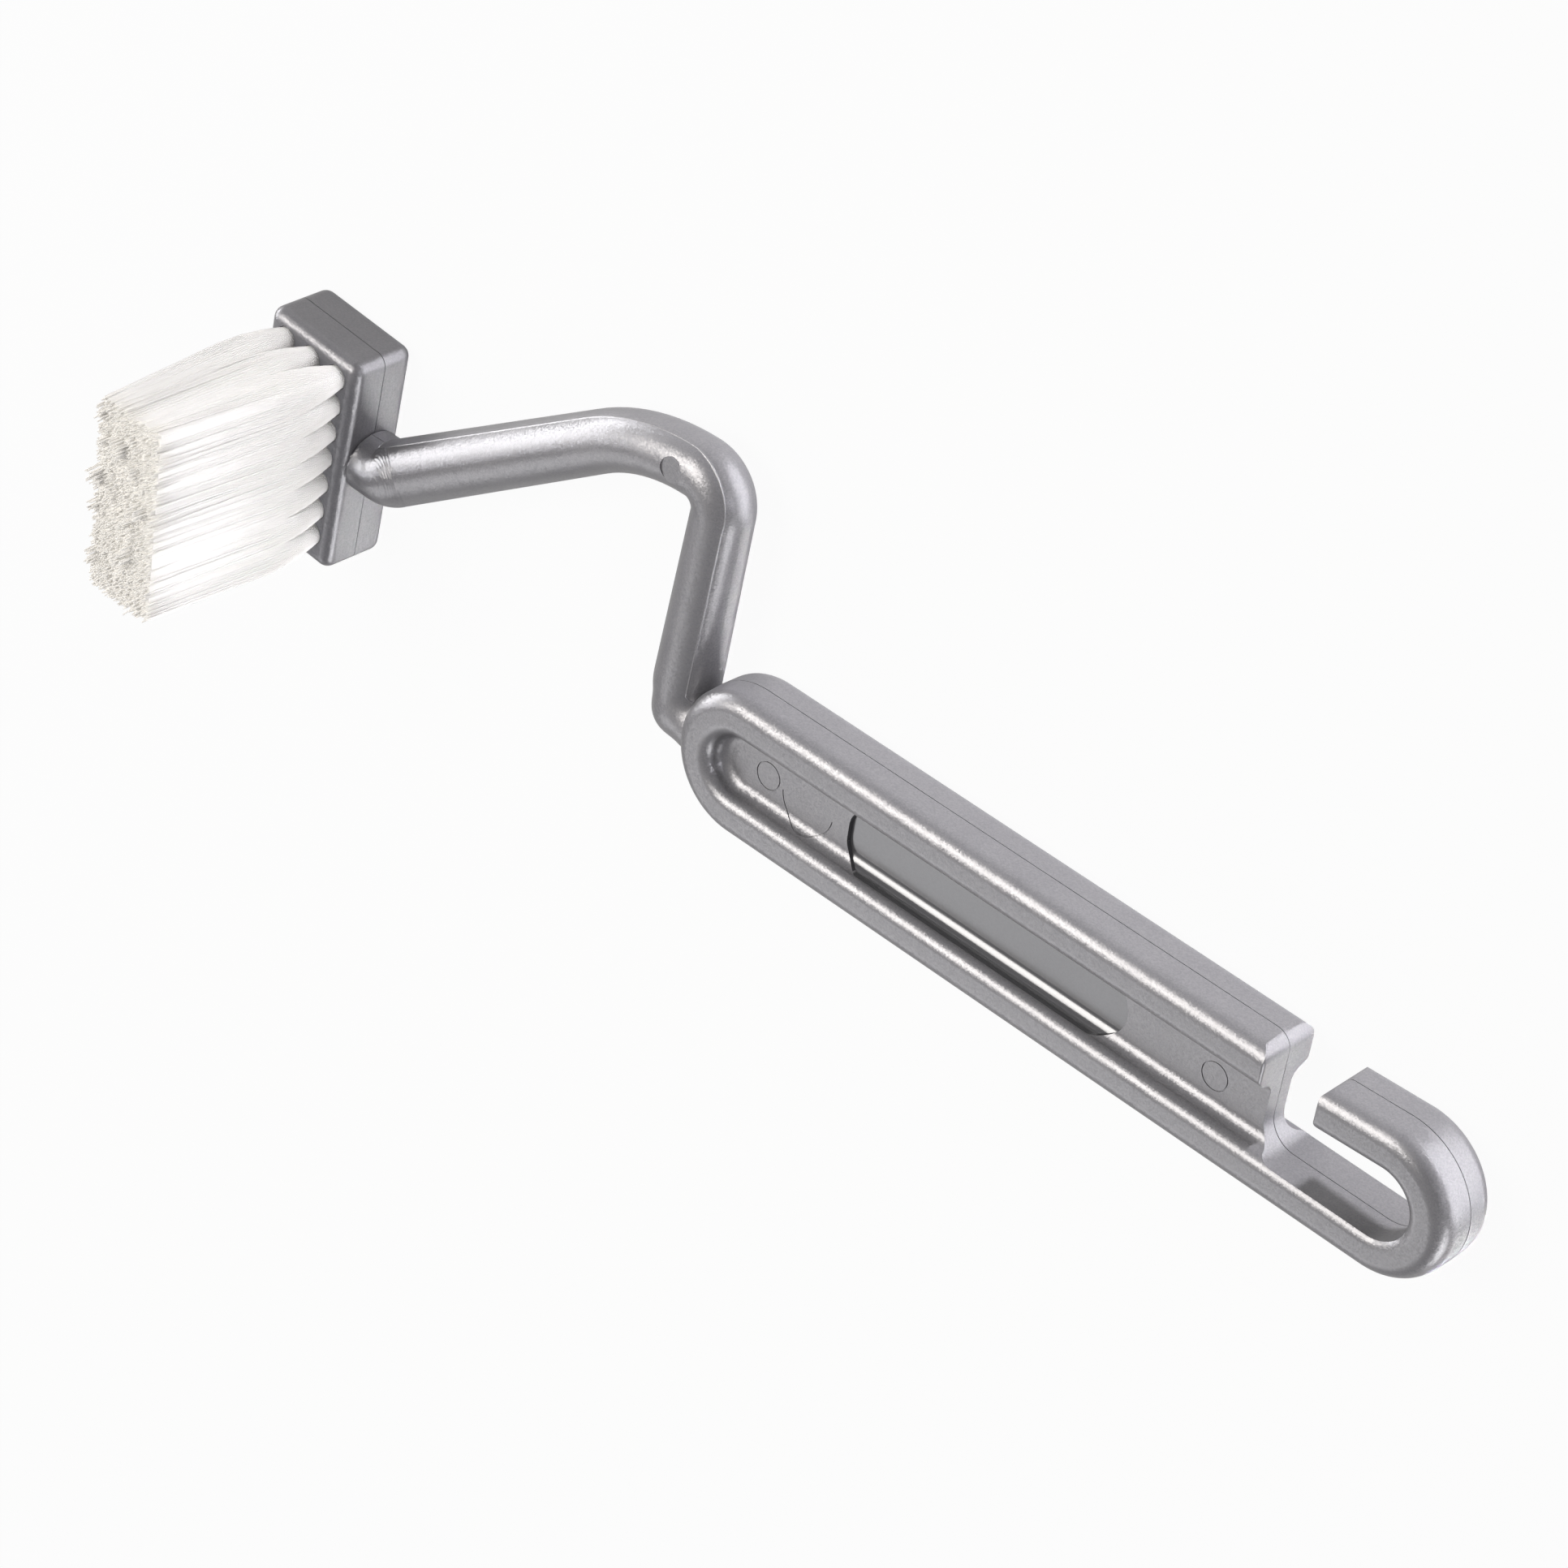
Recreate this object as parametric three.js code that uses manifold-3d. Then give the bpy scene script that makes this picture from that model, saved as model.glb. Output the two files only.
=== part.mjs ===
// Toilet rim brush: one moulded body (handle, bent rod and head block) with tufts stapled into the head.
// Millimetres. X runs along the handle to the hook, Y across it, Z out through the bristle tips.
// The brush is built round the rod end of the handle, then set down on its back, bristles up.
import * as THREE from 'three';
import { mergeVertices } from 'three/addons/utils/BufferGeometryUtils.js';
import { RoundedBoxGeometry } from 'three/addons/geometries/RoundedBoxGeometry.js';
import Module from 'manifold-3d';

const wasm = await Module();
wasm.setup();

// Handle: a round-ended bar with a shallow trough along both faces
const handleLength = 160;
const handleWidth = 26.7;
const handleThickness = 12.6;
const handleEdgeRadius = 3.1;
const railWidth = 5.3;
const troughWallRun = 4.7;
const webThickness = 5;

// Bare label pocket in the front trough: length and width at its flat floor
const pocketStart = 35.9;
const pocketLength = 59.2;
const pocketWidth = 10;
const pocketDepth = 1;
const pocketDraft = THREE.MathUtils.degToRad(13.4);

// Hook: an opening through the handle's far end, with a mouth in the upper rail
const hookGap = 13;
const hookMouth = 10.2;
const hookArmLength = 13.25;
const throatTopRadius = 3;
const throatFootRadius = 5;
const hookTipRadius = 1;
const hookTipTopRadius = 2;
const hookArmSet = 0.7;
const openingEdgeRadius = 0.7;

// Rod: from the handle's end up to a top corner, then in a slow bend down to the head
const rodFootDiameter = 11.4;
const rodTopDiameter = 10.6;
const rodElbowDiameter = 11.7;
const rodRootDiameter = 11.3;
const rodFootOffset = 4.3;
const rodFootBallInset = 1.2;
const rodHandleEmbed = 1;
const rodHeadEmbed = 4;
const uprightHeight = 45.2;
const uprightLean = THREE.MathUtils.degToRad(4.2);
const tightBendInside = 0.25;
const levelRun = 0.3;
const slowBendRadius = 39;
const riseAngle = THREE.MathUtils.degToRad(33.7);
const rodRootHeight = 7.4;
const stubLength = 5.8;

// Head block
const blockWidth = 22.4;
const blockHeight = 43.3;
const blockThickness = 13.2;
const blockRise = 0.3;
const blockEdgeRadius = 2.2;
const blockLean = THREE.MathUtils.degToRad(4.7);

// Tufts, their drilled holes and the flat wire anchors that staple them in
const tuftColumns = 3;
const tuftRows = 7;
const columnPitch = 6.46;
const rowPitch = 5.5;
const gridRise = 0.8;
const tipColumnPitch = 4.8;
const tipRowPitch = 5.3;
const tipTurn = THREE.MathUtils.degToRad(4);
const holeDiameter = 4.6;
const holeDepth = 8;
const drillPointAngle = THREE.MathUtils.degToRad(31);
const bristleLength = 39;
const splayHeight = 11;
const splayedPower = 4;
const tuftClearance = 0.3;
const tuftFoldHeight = 1.4;
const tuftFoldRounding = 0.7;
const anchorBite = 0.4;
const anchorThickness = 0.5;
const anchorHeight = 1.9;
const anchorTurn = Math.PI / 4;
const anchorClearance = 0.3;

// Facets
const endSegments = 18;
const filletSegments = 5;
const blockEdgeSegments = 3;
const openingSegments = 10;
const openingEdgeSegments = 2;
const rodSides = 24;
const degreesPerBendStep = 9;
const holeSides = 16;
const tuftSides = 12;

// How far a cutter stands out of what it cuts
const overcut = 2;
const faceOvercut = 0.05;

// Sizes that follow from the ones above
const handleRadius = handleWidth / 2;
const handleHalf = handleThickness / 2;
const leftEndX = handleRadius;
const rightEndX = handleLength - handleRadius;
const webHalf = webThickness / 2;
const hookTipX = rightEndX - hookArmLength;
const throatX = hookTipX - hookMouth;
const blockFrontZ = blockThickness / 2;
const tuftRootRadius = holeDiameter / 2 - tuftClearance;
const anchorLength = holeDiameter + 2 * anchorBite;
const anchorZ = -holeDepth + tuftClearance + tuftFoldHeight + anchorClearance + anchorHeight / 2;

// A closed body through a stack of rings with equally many points, each end closed by a fan.
function loft(rings) {
  const count = rings[0].length;
  const points = rings.flat();
  const triangles = [];
  for (let ring = 0; ring + 1 < rings.length; ring++) {
    for (let k = 0; k < count; k++) {
      const a = ring * count + k;
      const b = ring * count + (k + 1) % count;
      triangles.push(a, b, b + count, a, b + count, a + count);
    }
  }
  for (const [ring, flip] of [[0, true], [rings.length - 1, false]]) {
    const middle = new THREE.Vector3();
    rings[ring].forEach((point) => middle.addScaledVector(point, 1 / count));
    const centre = points.push(middle) - 1;
    for (let k = 0; k < count; k++) {
      const a = ring * count + k;
      const b = ring * count + (k + 1) % count;
      triangles.push(centre, flip ? b : a, flip ? a : b);
    }
  }
  const geometry = new THREE.BufferGeometry().setFromPoints(points);
  geometry.setIndex(triangles);
  return geometry;
}

// A geometry as a solid for cutting and joining: welded, without collapsed triangles.
function solid(geometry) {
  const bare = geometry.clone();
  bare.deleteAttribute('normal');
  bare.deleteAttribute('uv');
  const welded = mergeVertices(bare);
  const corners = welded.index.array;
  const triangles = [];
  for (let i = 0; i < corners.length; i += 3) {
    const [a, b, c] = corners.slice(i, i + 3);
    if (a !== b && b !== c && c !== a) triangles.push(a, b, c);
  }
  const vertProperties = Float32Array.from(welded.attributes.position.array);
  const triVerts = Uint32Array.from(triangles);
  return new wasm.Manifold(new wasm.Mesh({ numProp: 3, vertProperties, triVerts }));
}

// A solid back as a geometry.
function geometryOf(body) {
  const { vertProperties, triVerts } = body.getMesh();
  const geometry = new THREE.BufferGeometry();
  geometry.setAttribute('position', new THREE.BufferAttribute(vertProperties, 3));
  geometry.setIndex(new THREE.BufferAttribute(triVerts, 1));
  geometry.computeVertexNormals();
  return geometry;
}

// A body with a round-ended outline between two end centres, from [radius, z] steps going up.
function roundEnded(fromX, toX, steps) {
  const rings = steps.map(([radius, z]) => {
    const ring = [];
    for (const [centreX, start] of [[toX, -Math.PI / 2], [fromX, Math.PI / 2]]) {
      for (let k = 0; k <= endSegments; k++) {
        const angle = start + Math.PI * k / endSegments;
        ring.push(new THREE.Vector3(centreX + radius * Math.cos(angle), radius * Math.sin(angle), z));
      }
    }
    return ring;
  });
  return loft(rings);
}

// Handle bar with rounded edges.
function handleBar() {
  const steps = [];
  for (const side of [-1, 1]) {
    for (let k = 0; k <= filletSegments; k++) {
      const turn = (side < 0 ? k : filletSegments - k) / filletSegments * Math.PI / 2;
      const radius = handleRadius - handleEdgeRadius * (1 - Math.sin(turn));
      steps.push([radius, side * (handleHalf - handleEdgeRadius * (1 - Math.cos(turn)))]);
    }
  }
  return roundEnded(leftEndX, rightEndX, steps);
}

// Cutter for the front trough: two tangent arcs join its rim and its floor.
function troughCutter() {
  const rim = handleRadius - railWidth;
  const floor = rim - troughWallRun;
  const depth = handleHalf - webHalf;
  const steepest = 2 * Math.atan2(depth, troughWallRun);
  const arcRadius = troughWallRun / (2 * Math.sin(steepest));
  const steps = [];
  for (let k = 0; k <= filletSegments; k++) {
    const turn = steepest * k / filletSegments;
    steps.push([floor + arcRadius * Math.sin(turn), webHalf + arcRadius * (1 - Math.cos(turn))]);
  }
  for (let k = filletSegments - 1; k >= 0; k--) {
    const turn = steepest * k / filletSegments;
    steps.push([rim - arcRadius * Math.sin(turn), handleHalf - arcRadius * (1 - Math.cos(turn))]);
  }
  steps.push([rim, handleHalf + overcut]);
  return roundEnded(leftEndX, rightEndX, steps);
}

// Cutter for the label pocket: a flat floor below the trough's, with walls that lean out by the draft.
function pocketCutter() {
  const radius = pocketWidth / 2;
  const floor = webHalf - pocketDepth;
  const top = handleHalf + overcut;
  const steps = [[radius, floor], [radius + (top - floor) * Math.tan(pocketDraft), top]];
  return roundEnded(pocketStart + radius, pocketStart + pocketLength - radius, steps);
}

// Cutter for the hook's opening and its mouth, flared where it breaks through the faces.
function hookCutter() {
  const top = handleRadius;
  const half = hookGap / 2;
  const over = top + overcut;
  const outline = new THREE.Shape();
  outline.moveTo(throatX - throatTopRadius, over);
  outline.lineTo(throatX - throatTopRadius, top);
  outline.absarc(throatX - throatTopRadius, top - throatTopRadius, throatTopRadius, Math.PI / 2, 0, true);
  outline.absarc(throatX + throatFootRadius, throatFootRadius - half, throatFootRadius,
    Math.PI, 3 * Math.PI / 2, false);
  outline.absarc(rightEndX, 0, half, -Math.PI / 2, Math.PI / 2, false);
  outline.absarc(hookTipX + hookTipRadius, half + hookTipRadius, hookTipRadius, -Math.PI / 2, -Math.PI, true);
  outline.absarc(hookTipX + hookTipTopRadius, top - hookTipTopRadius, hookTipTopRadius,
    Math.PI, Math.PI / 2, true);
  outline.lineTo(hookTipX + hookTipTopRadius, over);
  const straight = handleThickness + 2 * (faceOvercut - openingEdgeRadius);
  const cutter = new THREE.ExtrudeGeometry(outline, {
    depth: straight,
    bevelThickness: openingEdgeRadius,
    bevelSize: -openingEdgeRadius,
    bevelOffset: openingEdgeRadius,
    bevelSegments: openingEdgeSegments,
    curveSegments: openingSegments,
  });
  return cutter.translate(0, 0, -straight / 2);
}

// The hook's arm has taken a set: it leans into its opening, most at the tip.
function setHookArm(geometry) {
  const position = geometry.attributes.position;
  for (let i = 0; i < position.count; i++) {
    const reach = (rightEndX - position.getX(i)) / (rightEndX - hookTipX);
    const onArm = position.getY(i) > 0 && reach > 0 && position.getX(i) > (throatX + hookTipX) / 2;
    if (onArm) position.setY(i, position.getY(i) - hookArmSet * reach);
  }
  return geometry;
}

function handle() {
  const front = solid(troughCutter());
  const back = solid(troughCutter().rotateX(Math.PI));
  const bar = solid(handleBar()).subtract(front).subtract(back).subtract(solid(pocketCutter()));
  const hooked = bar.subtract(solid(hookCutter()));
  return solid(setHookArm(geometryOf(hooked)));
}

// The rod's centre-line, walked from inside the handle to inside the head as straights and bends.
function rodRoute() {
  const stations = [];
  const rightTurn = Math.PI / 2 + uprightLean;
  const footBend = rodFootDiameter / 2 + tightBendInside;
  const topBend = rodTopDiameter / 2 + tightBendInside;
  const elbowBend = rodElbowDiameter / 2 + tightBendInside;
  const footTangent = footBend * Math.tan(rightTurn / 2);
  const topTangent = topBend * Math.tan(rightTurn / 2);
  const elbowTangent = elbowBend * Math.tan(riseAngle / 2);
  const slopeDrop = uprightHeight - rodRootHeight - slowBendRadius * (1 - Math.cos(riseAngle));
  const startX = footTangent - rodFootOffset + rodHandleEmbed;
  const at = { x: startX, y: 0, heading: Math.PI, radius: rodFootDiameter / 2 };
  const mark = () => stations.push({ ...at });
  const walk = (length, diameter) => {
    at.x += length * Math.cos(at.heading);
    at.y += length * Math.sin(at.heading);
    at.radius = diameter / 2;
    mark();
  };
  const bend = (turn, bendRadius) => {
    const steps = Math.max(1, Math.ceil(THREE.MathUtils.radToDeg(Math.abs(turn)) / degreesPerBendStep));
    const side = Math.sign(turn);
    const centreX = at.x - side * bendRadius * Math.sin(at.heading);
    const centreY = at.y + side * bendRadius * Math.cos(at.heading);
    for (let k = 0; k < steps; k++) {
      at.heading += turn / steps;
      at.x = centreX + side * bendRadius * Math.sin(at.heading);
      at.y = centreY - side * bendRadius * Math.cos(at.heading);
      mark();
    }
  };
  mark();
  walk(rodHandleEmbed, rodFootDiameter);
  bend(-rightTurn, footBend);
  walk(uprightHeight / Math.cos(uprightLean) - footTangent - topTangent, rodTopDiameter);
  bend(rightTurn, topBend);
  walk(levelRun, rodTopDiameter);
  bend(riseAngle, slowBendRadius);
  walk(slopeDrop / Math.sin(riseAngle) - elbowTangent, rodElbowDiameter);
  bend(-riseAngle, elbowBend);
  const headSideX = at.x + elbowTangent - stubLength;
  walk(at.x - headSideX + rodHeadEmbed, rodRootDiameter);
  return { stations, headSideX };
}

function rod(stations) {
  const rings = stations.map(({ x, y, heading, radius }) => {
    const ring = [];
    for (let k = 0; k < rodSides; k++) {
      const angle = 2 * Math.PI * k / rodSides;
      const across = radius * Math.cos(angle);
      const outward = radius * Math.sin(angle);
      ring.push(new THREE.Vector3(x - across * Math.sin(heading), y + across * Math.cos(heading), outward));
    }
    return ring;
  });
  return solid(loft(rings));
}

// The rod's foot is filled out to a ball at the outside of its bend.
function footBall() {
  const towardsInside = (Math.PI / 2 - uprightLean) / 2;
  const ball = new THREE.SphereGeometry(rodFootDiameter / 2, rodSides, rodSides / 2);
  const x = rodFootBallInset * Math.cos(towardsInside) - rodFootOffset;
  const y = rodFootBallInset * Math.sin(towardsInside);
  return solid(ball.translate(x, y, 0));
}

// Places of the tufts on the block's front, in the block's own leaning frame.
function tuftPlaces() {
  const places = [];
  for (let row = 0; row < tuftRows; row++) {
    for (let column = 0; column < tuftColumns; column++) {
      const acrossSteps = column - (tuftColumns - 1) / 2;
      const upSteps = (tuftRows - 1) / 2 - row;
      const hole = new THREE.Vector2(acrossSteps * columnPitch, upSteps * rowPitch + gridRise);
      const tip = new THREE.Vector2(acrossSteps * tipColumnPitch, upSteps * tipRowPitch);
      const lean = tip.rotateAround(new THREE.Vector2(), tipTurn).sub(hole);
      places.push({ name: `${row + 1}_${column + 1}`, hole, lean });
    }
  }
  return places;
}

// Drilled hole with its pointed end, from above the face down.
function drilledHole() {
  const radius = holeDiameter / 2;
  const profile = [
    new THREE.Vector2(0, -holeDepth - radius * Math.tan(drillPointAngle)),
    new THREE.Vector2(radius, -holeDepth),
    new THREE.Vector2(radius, overcut),
    new THREE.Vector2(0, overcut),
  ];
  return new THREE.LatheGeometry(profile, holeSides).rotateX(Math.PI / 2);
}

// The plate of an anchor, grown on every side by a clearance where it is used as a cutter.
function anchorPlate(clearance) {
  const grown = 2 * clearance;
  const plate = new THREE.BoxGeometry(anchorLength + grown, anchorThickness + grown, anchorHeight + grown);
  return plate.rotateZ(anchorTurn).translate(0, 0, anchorZ);
}

// Head block in its own frame, with the middle of its front face at the origin.
function headBlock() {
  const box = new RoundedBoxGeometry(blockWidth, blockHeight, blockThickness, blockEdgeSegments,
    blockEdgeRadius);
  return box.translate(0, 0, -blockThickness / 2);
}

// Holes and anchor seats of all tufts, in the block's own frame.
function tuftSockets() {
  const socket = solid(drilledHole()).add(solid(anchorPlate(anchorClearance)));
  const shape = geometryOf(socket);
  let sockets = null;
  for (const { hole } of tuftPlaces()) {
    const one = solid(shape.clone().translate(hole.x, hole.y, 0));
    sockets = sockets ? sockets.add(one) : one;
  }
  return geometryOf(sockets);
}

// A tuft: a round folded root in its hole, splayed above the face until it meets its neighbours.
function tuft(lean) {
  const foot = tuftClearance - holeDepth;
  const stations = [
    { z: foot, rootRadius: tuftRootRadius - tuftFoldRounding, splay: 0 },
    { z: foot + tuftFoldHeight / 2, rootRadius: tuftRootRadius, splay: 0 },
    { z: 0, rootRadius: tuftRootRadius, splay: 0 },
    { z: splayHeight, rootRadius: tuftRootRadius, splay: 1 },
    { z: bristleLength, rootRadius: tuftRootRadius, splay: 1 },
  ];
  const rings = stations.map(({ z, rootRadius, splay }) => {
    const reach = Math.max(z, 0) / bristleLength;
    const freeX = THREE.MathUtils.lerp(columnPitch, tipColumnPitch, reach) - tuftClearance;
    const freeY = THREE.MathUtils.lerp(rowPitch, tipRowPitch, reach) - tuftClearance;
    const halfX = THREE.MathUtils.lerp(rootRadius, freeX / 2, splay);
    const halfY = THREE.MathUtils.lerp(rootRadius, freeY / 2, splay);
    const roundness = 2 / THREE.MathUtils.lerp(2, splayedPower, splay);
    const ring = [];
    for (let k = 0; k < tuftSides; k++) {
      const angle = 2 * Math.PI * (k + 0.5) / tuftSides;
      const c = Math.cos(angle);
      const s = Math.sin(angle);
      const x = halfX * Math.sign(c) * Math.abs(c) ** roundness;
      const y = halfY * Math.sign(s) * Math.abs(s) ** roundness;
      const side = new THREE.Vector2(x, y).rotateAround(new THREE.Vector2(), tipTurn * reach);
      side.addScaledVector(lean, reach);
      ring.push(new THREE.Vector3(side.x, side.y, z));
    }
    return ring;
  });
  const bundle = solid(loft(rings));
  return geometryOf(bundle.subtract(solid(anchorPlate(anchorClearance))));
}

const plastic = new THREE.MeshStandardMaterial({ color: 0x8f8f93, roughness: 0.42, metalness: 0.35 });
const bristle = new THREE.MeshStandardMaterial({ color: 0xf4f2ee, roughness: 0.55, metalness: 0 });
const wire = new THREE.MeshStandardMaterial({ color: 0xc9b27a, roughness: 0.35, metalness: 1 });

function namedMesh(name, geometry, material) {
  const mesh = new THREE.Mesh(geometry, material.clone());
  mesh.name = name;
  return mesh;
}

const { stations, headSideX } = rodRoute();
const blockCentreX = headSideX - blockWidth / 2;
const blockCentreY = rodRootHeight + blockRise;

// From the block's own frame to the brush's: leant over, at the end of the rod.
function onHead(geometry) {
  return geometry.rotateZ(-blockLean).translate(blockCentreX, blockCentreY, blockFrontZ);
}

function mouldedBody() {
  const joined = handle().add(rod(stations)).add(footBall()).add(solid(onHead(headBlock())));
  return geometryOf(joined.subtract(solid(onHead(tuftSockets()))));
}

const brush = new THREE.Group();
brush.add(namedMesh('moulded_body', mouldedBody(), plastic));

const head = new THREE.Group();
head.position.set(blockCentreX, blockCentreY, blockFrontZ);
head.rotation.z = -blockLean;
for (const { name, hole, lean } of tuftPlaces()) {
  const bundle = namedMesh(`tuft_${name}`, tuft(lean), bristle);
  const anchor = namedMesh(`anchor_${name}`, anchorPlate(0), wire);
  for (const piece of [bundle, anchor]) {
    piece.position.set(hole.x, hole.y, 0);
    head.add(piece);
  }
}
brush.add(head);

// Set down on its back: the origin is under the middle of the whole brush.
const extent = new THREE.Box3().setFromObject(brush, true);
const middle = extent.getCenter(new THREE.Vector3());
brush.position.set(-middle.x, -middle.y, -extent.min.z);

const part = new THREE.Group();
part.add(brush);

export default part;
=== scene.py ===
"""Toilet rim brush: the looks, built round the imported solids.

The moulded body is rebuilt with fine facets and its mould marks, and the tufts as folded filaments.
Sizes are in millimetres from the rod end of the handle, X along it, Z out through the bristles.
"""
import math
import random

import bmesh
import bpy
from mathutils import Matrix, Vector


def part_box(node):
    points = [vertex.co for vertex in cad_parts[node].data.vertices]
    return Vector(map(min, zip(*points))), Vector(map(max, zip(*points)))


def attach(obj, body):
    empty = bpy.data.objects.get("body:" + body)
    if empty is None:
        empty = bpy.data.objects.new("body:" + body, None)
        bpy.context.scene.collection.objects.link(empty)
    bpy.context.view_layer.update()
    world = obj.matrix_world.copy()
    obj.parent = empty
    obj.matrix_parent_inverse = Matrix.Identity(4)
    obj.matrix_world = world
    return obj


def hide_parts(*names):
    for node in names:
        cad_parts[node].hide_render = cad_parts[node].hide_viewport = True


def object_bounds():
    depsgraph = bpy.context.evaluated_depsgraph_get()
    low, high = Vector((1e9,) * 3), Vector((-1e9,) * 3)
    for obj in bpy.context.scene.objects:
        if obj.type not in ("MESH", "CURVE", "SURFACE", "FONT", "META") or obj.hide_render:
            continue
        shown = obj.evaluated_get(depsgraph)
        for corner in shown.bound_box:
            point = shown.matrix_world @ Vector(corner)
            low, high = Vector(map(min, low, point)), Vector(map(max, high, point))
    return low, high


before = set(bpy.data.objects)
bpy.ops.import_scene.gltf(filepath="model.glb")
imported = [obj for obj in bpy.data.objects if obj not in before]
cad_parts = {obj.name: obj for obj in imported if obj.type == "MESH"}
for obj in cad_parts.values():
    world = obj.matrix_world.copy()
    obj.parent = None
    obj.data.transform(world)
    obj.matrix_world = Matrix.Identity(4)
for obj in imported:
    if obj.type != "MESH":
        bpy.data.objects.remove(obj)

CAD_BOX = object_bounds()
MM = 0.001

# Handle
HANDLE_LENGTH = 160.0
HANDLE_WIDTH = 26.7
HANDLE_THICKNESS = 12.6
HANDLE_EDGE = 3.1
HANDLE_DRAFT = 0.1
RAIL_WIDTH = 5.3
TROUGH_WALL_RUN = 4.7
WEB_THICKNESS = 5.0
POCKET_START = 36.0
POCKET_LENGTH = 59.4
POCKET_WIDTH = 11.4
POCKET_DEPTH = 0.75
POCKET_CORNER = 4.5

# Hook
HOOK_GAP = 13.0
HOOK_MOUTH = 10.2
HOOK_ARM_LENGTH = 13.25
THROAT_TOP_RADIUS = 3.0
THROAT_FOOT_RADIUS = 5.0
HOOK_TIP_RADIUS = 1.0
HOOK_TIP_TOP_RADIUS = 2.0
HOOK_ARM_SET = 0.7
OPENING_EDGE = 0.7

# Rod
ROD_FOOT_DIAMETER = 11.4
ROD_TOP_DIAMETER = 10.6
ROD_ELBOW_DIAMETER = 11.7
ROD_ROOT_DIAMETER = 11.3
ROD_FOOT_OFFSET = 4.3
ROD_BALL_INSET = 1.2
ROD_HANDLE_EMBED = 1.0
ROD_HEAD_EMBED = 4.0
UPRIGHT_HEIGHT = 45.2
UPRIGHT_LEAN = math.radians(4.2)
TIGHT_BEND_INSIDE = 0.25
LEVEL_RUN = 0.3
SLOW_BEND_RADIUS = 39.0
RISE_ANGLE = math.radians(33.7)
ROD_ROOT_HEIGHT = 7.4
STUB_LENGTH = 5.8

# Head
BLOCK_WIDTH = 22.4
BLOCK_HEIGHT = 43.3
BLOCK_THICKNESS = 13.2
BLOCK_RISE = 0.3
BLOCK_EDGE = 2.2
BLOCK_LEAN = math.radians(4.7)
LEAST_CORNER = 0.05

# Mould marks: fine grooves, the rod's parting bead, a pin's end, and the steps that the cutter left
GROOVE_WIDTH = 0.2
GROOVE_DEPTH = 0.2
SLOT_WIDTH = 0.14
SLOT_DEPTH = 0.14
SLOT_TAPER = 0.9
# Each ejector mark: its place x and y, its radius, and where its arc starts and ends in degrees
EJECTOR_MARKS = ((18.1, 0.2, 2.5, 110, 469), (27.0, 0.0, 5.5, 185, 355), (113.0, 0.1, 2.5, 60, 419))
BEAD_HEIGHT = 0.09
BEAD_HALF_WIDTH = 0.11
BEAD_AT_HANDLE = math.radians(160)
BEAD_ON_UPRIGHT = math.radians(131)
BEAD_ON_SLOPE = math.radians(153)
BEAD_AT_HEAD = math.radians(172)
PIN_PLACE = (-9.2, 45.3)
PIN_RADIUS = 2.3
PIN_HEIGHT = 5.02
ELBOW_POLE = Vector((-74.0, 8.6))
ELBOW_RINGS = (1.4, 2.9, 3.5, 4.0, 4.5, 4.9, 5.4)
ELBOW_STEP = 0.09
ELBOW_STEP_WIDTH = 0.2
ELBOW_SMOOTH_WIDTH = 3.0
ELBOW_FADE_HEIGHT = 2.0
FOOT_BLEND = 0.9
STUB_GROOVE_DEPTH = 0.3
STUB_GROOVE_HALF_WIDTH = 0.14

# Tufts
TUFT_COLUMNS = 3
TUFT_ROWS = 7
COLUMN_PITCH = 6.46
ROW_PITCH = 5.5
GRID_RISE = 0.8
TIP_COLUMN_PITCH = 4.8
TIP_ROW_PITCH = 5.3
TIP_TURN = math.radians(4)
HOLE_DIAMETER = 4.6
HOLE_DEPTH = 8.0
DRILL_POINT_ANGLE = math.radians(31)
BRISTLE_LENGTH = 39.0
SPLAY_HEIGHT = 15.0
FOLD_HEIGHT = 1.4
TUFT_CLEARANCE = 0.3
ANCHOR_BITE = 0.4
ANCHOR_THICKNESS = 0.5
ANCHOR_HEIGHT = 1.9
ANCHOR_TURN = math.radians(45)
ANCHOR_CLEARANCE = 0.3
FILAMENT_DIAMETER = 0.3
FILAMENT_SPACING = 0.315
FOLD_GAP_SHARE = 0.75
OUTER_FILAMENTS = 26
LENGTH_SPREAD = 0.13
LENGTH_LIMIT = 1.2
CLUMP_LENGTH_SPREAD = 0.12
LONG_CLUMP_SHARE = 0.1
LONG_CLUMP_LIFT = (0.6, 2.0)
TIP_SPREAD = 0.25
STRAY_SHARE = 0.012
STRAY_SPREAD = 1.6
CELL_OVERLAP = 1.03
CLUMPS = 6
CLUMP_PULL = 0.15
CORE_TOP_SHARE = 0.99
CORE_BELOW_TIPS = 0.75
CORE_SHOULDER = 0.85
LEG_CROWDING = 1.6
SEED = 7

# Facets
END_SEGMENTS = 56
FILLET_SEGMENTS = 12
ROD_SIDES = 240
ROD_CROWDING = 0.4
ROD_STEP = 1.0
FINE_ROD_STEP = 0.16
DEGREES_PER_BEND_STEP = 3
FINE_DEGREES_PER_BEND_STEP = 1.2
HOLE_SIDES = 32
FILAMENT_SIDES = 5
LEG_STEPS = 8
FOLD_STEPS = 6
OVERCUT = 2.0
FACE_OVERCUT = 0.05
SHARP_ANGLE = math.radians(28)

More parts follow.
